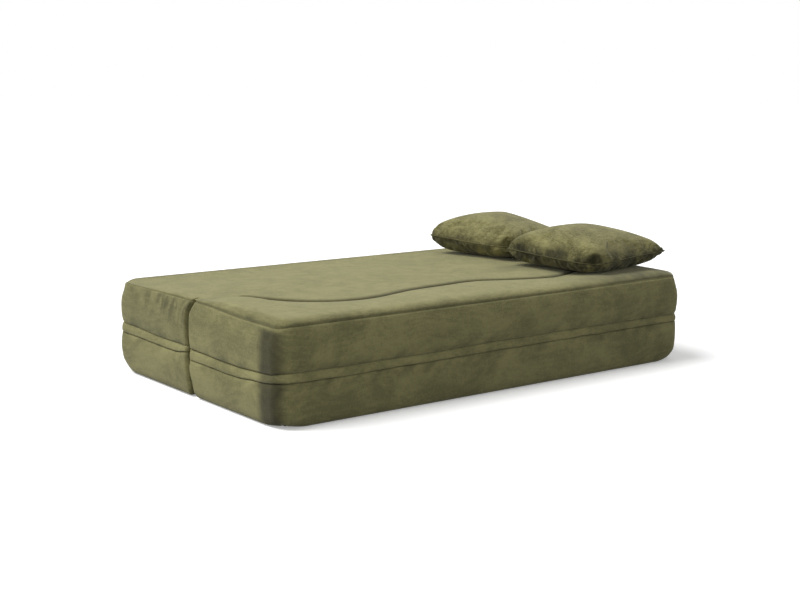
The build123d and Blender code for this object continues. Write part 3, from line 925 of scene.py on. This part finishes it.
def rubbed(name, colour, wear_and_shade, metallic, roughness):
    """Metal or moulded plastic, lighter where touched: noise on colour and roughness."""
    material, tree, surface = new_surface(name)
    place = node(tree, "ShaderNodeTexCoord").outputs["Object"]
    touch = ranged(tree, noise(tree, place, 160.0, 3.0, 0.6), 0.4, 0.7)
    set_surface(tree, surface, mix_colour(tree, touch, (*colour, 1), (*wear_and_shade, 1)), touch, 0.15, 0.0002,
                Metallic=metallic, Roughness=ranged(tree, touch, 0.0, 1.0, roughness, roughness + 0.18))
    return material


def dress_node(name, material):
    """Gives a CAD node that stays its own material."""
    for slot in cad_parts[name].material_slots:
        slot.material = material


# Operators

class MakeBlocks(bpy.types.Operator):
    """Covers, zip bands and zips of the seat and back blocks"""

    bl_idname = "sofa_bed.make_blocks"
    bl_label = "Blocks"

    def execute(self, context):
        sizes, colours = context.scene.sofa_blocks, context.scene.sofa_colours
        cover = plush("Plush cover", colours.pile, colours.pile_dark, 4.6, 0.72, 0.34)
        tape = woven("Zip tape weave", (0.06, 0.058, 0.028), (0.03, 0.028, 0.014), 5200.0)
        lining = woven("Underside cloth", (0.035, 0.035, 0.033), (0.018, 0.018, 0.017), 3300.0)
        teeth = rubbed("Zip coil", (0.09, 0.085, 0.05), (0.14, 0.13, 0.08), 0.0, 0.42)
        slider = rubbed("Zip slider", (0.35, 0.33, 0.28), (0.5, 0.47, 0.4), 1.0, 0.3)
        for name, side, seed in (("seat", -1, 3), ("back", 1, 31)):
            outline = Outline(sizes, side)
            for mesh, material, slot, nodes, fill in (
                    (cover_mesh(name + "_top_cover", outline, UPPER_WALL, seed, True), cover, "plush",
                     ("upper_cover", "comfort_foam"), 0.95),
                    (cover_mesh(name + "_low_cover", outline, LOWER_WALL, seed + 9, False), cover, "plush",
                     ("lower_cover", "base_foam"), 0.95),
                    (band_mesh(name + "_zip_band", outline, seed), cover, "plush", ("zip_flap",), None),
                    (ring_strip(name + "_tape", outline, TAPE_WALL), tape, "zip_tape", ("zip_tape",), None),
                    (ring_strip(name + "_coil", outline, COIL_WALL), teeth, "zip_teeth", ("zip_chain",), None),
                    (self.underside(name + "_underside", sizes, side), lining, "base_cloth", ("base_cloth",),
                     None)):
                piece = add_object(mesh.name, mesh, material)
                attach(piece, name)
                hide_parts(*(name + "_" + part for part in nodes))
            self.slider(name, outline, slider)
        return {"FINISHED"}

    def slider(self, name, outline, material):
        """Zip slider behind the band: a waisted body round the coil and its pull, folded up against it. Both are
        |x|^4 + |z|^4 = 1 carried from back to front, each ring with its half length, half height and rise."""
        low, high = (np.array(corner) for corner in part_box(name + "_zip_slider"))
        side = 1 if low[1] + high[1] > 0 else -1
        wall = outline.wide[2] if side > 0 else outline.wide[1]
        middle = (low[0] + high[0]) / 2
        count = 32
        turn = np.arange(count) / count * 2 * np.pi
        round_x = np.sign(np.cos(turn)) * np.abs(np.cos(turn)) ** 0.5
        round_z = np.sign(np.sin(turn)) * np.abs(np.sin(turn)) ** 0.5
        rings = []
        for offset, long, tall, up in ((-0.0138, 0.0040, 0.0032, 0), (-0.0136, 0.0050, 0.0040, 0),
                                       (-0.0118, 0.0050, 0.0040, 0), (-0.0115, 0.0042, 0.0034, 0),
                                       (-0.0098, 0.0042, 0.0034, 0), (-0.0095, 0.0050, 0.0040, 0),
                                       (-0.0082, 0.0050, 0.0040, 0), (-0.0079, 0.0046, 0.0038, 0),
                                       (-0.0077, 0.0034, 0.0030, 0), (-0.0074, 0.0034, 0.0072, 0.003),
                                       (-0.0068, 0.0036, 0.0076, 0.003), (-0.0064, 0.0032, 0.0070, 0.003)):
            rings.append(stacked(middle + long * round_x, wall + side * offset, ZIP_HEIGHT + up + tall * round_z))
        points = np.concatenate(rings)
        order = index_grid(len(rings), count)
        faces = ring_quads(order[:-1], order[1:])
        faces = (faces[:, ::-1] if side < 0 else faces).tolist()
        caps = [order[0].tolist(), order[-1][::-1].tolist()]
        faces += caps if side > 0 else [cap[::-1] for cap in caps]
        piece = add_object(name + "_zip_pull", make_mesh(name + "_zip_pull", points, faces, False), material)
        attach(piece, name + "_slider")
        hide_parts(name + "_zip_slider")

    def underside(self, name, sizes, side):
        """Panel under a block: a grid with a faint sag, z = 0.2 mm + 0.6 mm exp(-rim / 4 mm), and its copy 2.2 mm
        above it, joined round their rims."""
        reach, half = 0.886, sizes.depth / 2 - 0.064
        x, y = np.meshgrid(np.linspace(-reach, reach, 120), np.linspace(-half, half, 34))
        rim = np.minimum(reach - np.abs(x), half - np.abs(y))
        lower = stacked(x, y + side * (sizes.gap + sizes.depth) / 2, 0.0002 + 0.0006 * np.exp(-rim / 0.004))
        grid, loop = index_grid(*x.shape), edge_loop(*x.shape)
        quads = [grid_quads(grid + x.size), grid_quads(grid)[:, ::-1], ring_quads(loop, loop + x.size)]
        return make_mesh(name, np.concatenate([lower, lower + np.array([0, 0, 0.0022])]), np.concatenate(quads))


class MakeHinge(bpy.types.Operator):
    """Cloth that carries the top sheet over the gap between the blocks"""

    bl_idname = "sofa_bed.make_hinge"
    bl_label = "Hinge cloth"

    def execute(self, context):
        sizes = context.scene.sofa_blocks
        xs = np.linspace(-HINGE_REACH, HINGE_REACH, 300)
        mesh = strip_mesh("hinge_sheet", xs, hinge_profile(sizes.sheet))
        points = mesh_points(mesh)
        end = smooth((np.abs(points[:, 0]) - 0.898) / HINGE_FADE)
        points[:, 2] -= end * (0.0012 + 0.0065 * bump(points[:, 1] / 0.026))
        mesh.vertices.foreach_set("co", points.ravel())
        mesh.update()
        piece = add_object("hinge_sheet", mesh, bpy.data.materials["Plush cover"])
        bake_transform(piece)
        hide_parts("hinge_cloth")
        return {"FINISHED"}


class MakePillows(bpy.types.Operator):
    """Two loose pillows, filled by a cloth simulation with their seams held, and their piping and zips"""

    bl_idname = "sofa_bed.make_pillows"
    bl_label = "Pillows"

    def execute(self, context):
        sizes, colours = context.scene.sofa_pillows, context.scene.sofa_colours
        pile = plush("Pillow plush", colours.pillow, colours.pillow_dark, 9.0, 0.8, 0.3, relief=0.6, sheen=0.3)
        zips = rubbed("Pillow zip coil", (0.08, 0.075, 0.035), (0.12, 0.11, 0.06), 0.0, 0.45)
        # the last number is how deep the painted shade on each pillow's underside and piping is
        for name, fullness, droop, tilt, depth in (("near", sizes.near_fill, 0.028, 0.16, 1.35),
                                                   ("far", sizes.far_fill, 0.007, 0.62, 0.8)):
            label = "pillow_" + name
            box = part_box(label + "_cover")
            points, quads, edge = pillow_points(sizes, box, fullness, droop, tilt)
            points, quads = fill_pillow(label, points, quads, edge)
            points = settle(points, box[0][2] + 0.0004, 0.004)
            points[:, 2] = np.minimum(points[:, 2], box[1][2] + 0.004)
            piece = add_object(label, make_mesh(label, points, quads), pile)
            self.shade(piece.data, points, box, depth)
            piece.modifiers.new("Subdivision", "SUBSURF").levels = 1
            piece.modifiers["Subdivision"].render_levels = 1
            path = edge[::2]
            cord = add_object(label + "_piping", tube_mesh(label + "_piping", path, self.cord(path)), pile)
            # the piping darkened with painted shade, a share of its pillow's underside shade
            set_attribute(cord.data, "seam", np.full(len(cord.data.vertices), 0.55 * depth))
            for part in (piece, cord):
                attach(part, name + "_pillow")
            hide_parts(label + "_cover", label + "_fill")
            dress_node(label + "_zip", zips)
        return {"FINISHED"}

    def cord(self, path):
        """Radius of the piping, which bunches up at the corners."""
        reach = np.linalg.norm(path[:, :2] - path[:, :2].mean(axis=0), axis=1)
        return 0.0020 + 0.0018 * smooth((reach / reach.max() - 0.90) / 0.08)

    def shade(self, mesh, points, box, depth):
        """Attributes for the pile: more brushed, and darker with painted shade, towards the underside."""
        share = (points[:, 2] - box[0][2]) / (box[1][2] - box[0][2])
        low = 1 - smooth((share - 0.20) / 0.5)
        crumple = waves(points[:, 0] - points[:, 1], points[:, 2] * 0.7, 71, 0.09, 3)
        set_attribute(mesh, "side", 0.05 + 0.95 * low)
        # painted shade towards the underside, mottled by the crumple noise
        set_attribute(mesh, "seam", np.clip(depth * low * (0.8 + 0.7 * crumple), 0, 1))


class MakeStage(bpy.types.Operator):
    """White floor that keeps the shadow, soft lamps and the camera at the photograph's angle"""

    bl_idname = "sofa_bed.make_stage"
    bl_label = "Stage"

    def execute(self, context):
        scene = context.scene
        floor = add_object("floor", self.plane(), self.white())
        self.world(scene)
        aim, place = Vector((0.64, -0.30, -1.0)), Vector((-2.6, -3.2, 1.5))
        self.lamp(scene, "Key", "SUN", aim * -4, aim, energy=3.0, angle=0.6)
        self.lamp(scene, "Fill", "AREA", place, Vector((-0.3, -0.3, 0.2)) - place, energy=22.0, size=1.8)
        self.camera(scene)
        scene.view_settings.view_transform = "Standard"
        return {"FINISHED"}

    def plane(self):
        """Flat floor: a grid of 40 m a side at height 0."""
        reach = np.linspace(-20, 20, 9)
        x, y = np.meshgrid(reach, reach)
        return make_mesh("floor", stacked(x, y, 0.0), grid_quads(index_grid(*x.shape)))

    def white(self):
        """White to the camera, a darker neutral to the light that bounces off it."""
        material, tree, surface = new_surface("Studio floor")
        seen = self.seen(tree)
        set_inputs(tree, surface, {
            "Base Color": mix_colour(tree, seen, (0.2, 0.2, 0.2, 1), (0.9, 0.9, 0.9, 1)),
            "Emission Color": mix_colour(tree, seen, (0, 0, 0, 1), (0.3, 0.3, 0.3, 1)),
            "Emission Strength": 1.0, "Roughness": 0.9, "Specular IOR Level": 0.0})
        return material

    def seen(self, tree):
        """1 for rays from the camera, glossy rays and transmitted rays."""
        path = node(tree, "ShaderNodeLightPath")
        seen = maths(tree, "ADD", path.outputs["Is Camera Ray"], path.outputs["Is Glossy Ray"], clamp=True)
        return maths(tree, "ADD", seen, path.outputs["Is Transmission Ray"], clamp=True)

    def world(self, scene):
        """White behind the object, and a plain grey light from all round."""
        world = bpy.data.worlds.new("Studio")
        world.use_nodes = True
        tree = world.node_tree
        back = tree.nodes["Background"]
        light = mix_colour(tree, self.seen(tree), (0.38, 0.38, 0.38, 1), (1, 1, 1, 1))
        tree.links.new(light, back.inputs["Color"])
        scene.world = world

    def lamp(self, scene, name, kind, place, aim, **settings):
        """Lamp at a place that shines along aim."""
        lamp = bpy.data.lights.new(name, kind)
        for key, value in settings.items():
            setattr(lamp, key, value)
        obj = bpy.data.objects.new(name, lamp)
        obj.location = place
        obj.rotation_euler = aim.to_track_quat("-Z", "Y").to_euler()
        scene.collection.objects.link(obj)

    def camera(self, scene):
        """Camera from yaw, pitch and roll, fitted to the photograph."""
        yaw, pitch, roll = math.radians(39.27), math.radians(10.42), math.radians(1.38)
        ahead = Vector((math.sin(yaw) * math.cos(pitch), math.cos(yaw) * math.cos(pitch), -math.sin(pitch)))
        right = Vector((math.cos(yaw), -math.sin(yaw), 0))
        up = right.cross(ahead)
        c, s = math.cos(roll), math.sin(roll)
        x, y = c * right + s * up, c * up - s * right
        camera = bpy.data.cameras.new("Camera")
        camera.lens = 64.27
        camera.sensor_width = 36
        obj = bpy.data.objects.new("Camera", camera)
        obj.matrix_world = Matrix((x, y, -ahead)).transposed().to_4x4()
        obj.location = (-3.3737, -4.0691, 1.2175)
        scene.collection.objects.link(obj)
        scene.camera = obj


class SofaBedPanel(bpy.types.Panel):
    """Sizes, colours and makers of the sofa bed"""

    bl_idname = "VIEW3D_PT_sofa_bed"
    bl_label = "Sofa bed"
    bl_space_type = "VIEW_3D"
    bl_region_type = "UI"
    bl_category = "Sofa bed"

    def draw(self, context):
        for group in (context.scene.sofa_blocks, context.scene.sofa_pillows, context.scene.sofa_colours):
            box = self.layout.box()
            for name in group.__annotations__:
                box.prop(group, name)
        for maker in MAKERS:
            self.layout.operator(maker.bl_idname)


MAKERS = (MakeStage, MakeBlocks, MakeHinge, MakePillows)
GROUPS = (BlockSizes, PillowSizes, PlushColours)


def register():
    """Registers the classes and hangs the sizes and colours on the scene."""
    for each in GROUPS + MAKERS + (SofaBedPanel,):
        bpy.utils.register_class(each)
    bpy.types.Scene.sofa_blocks = bpy.props.PointerProperty(type=BlockSizes)
    bpy.types.Scene.sofa_pillows = bpy.props.PointerProperty(type=PillowSizes)
    bpy.types.Scene.sofa_colours = bpy.props.PointerProperty(type=PlushColours)


def unregister():
    """Takes them off again."""
    del bpy.types.Scene.sofa_colours, bpy.types.Scene.sofa_pillows, bpy.types.Scene.sofa_blocks
    for each in (SofaBedPanel,) + MAKERS[::-1] + GROUPS[::-1]:
        bpy.utils.unregister_class(each)


def main():
    register()
    bpy.ops.sofa_bed.make_stage()
    bpy.ops.sofa_bed.make_blocks()
    bpy.ops.sofa_bed.make_hinge()
    bpy.ops.sofa_bed.make_pillows()


if __name__ == "__main__":
    main()
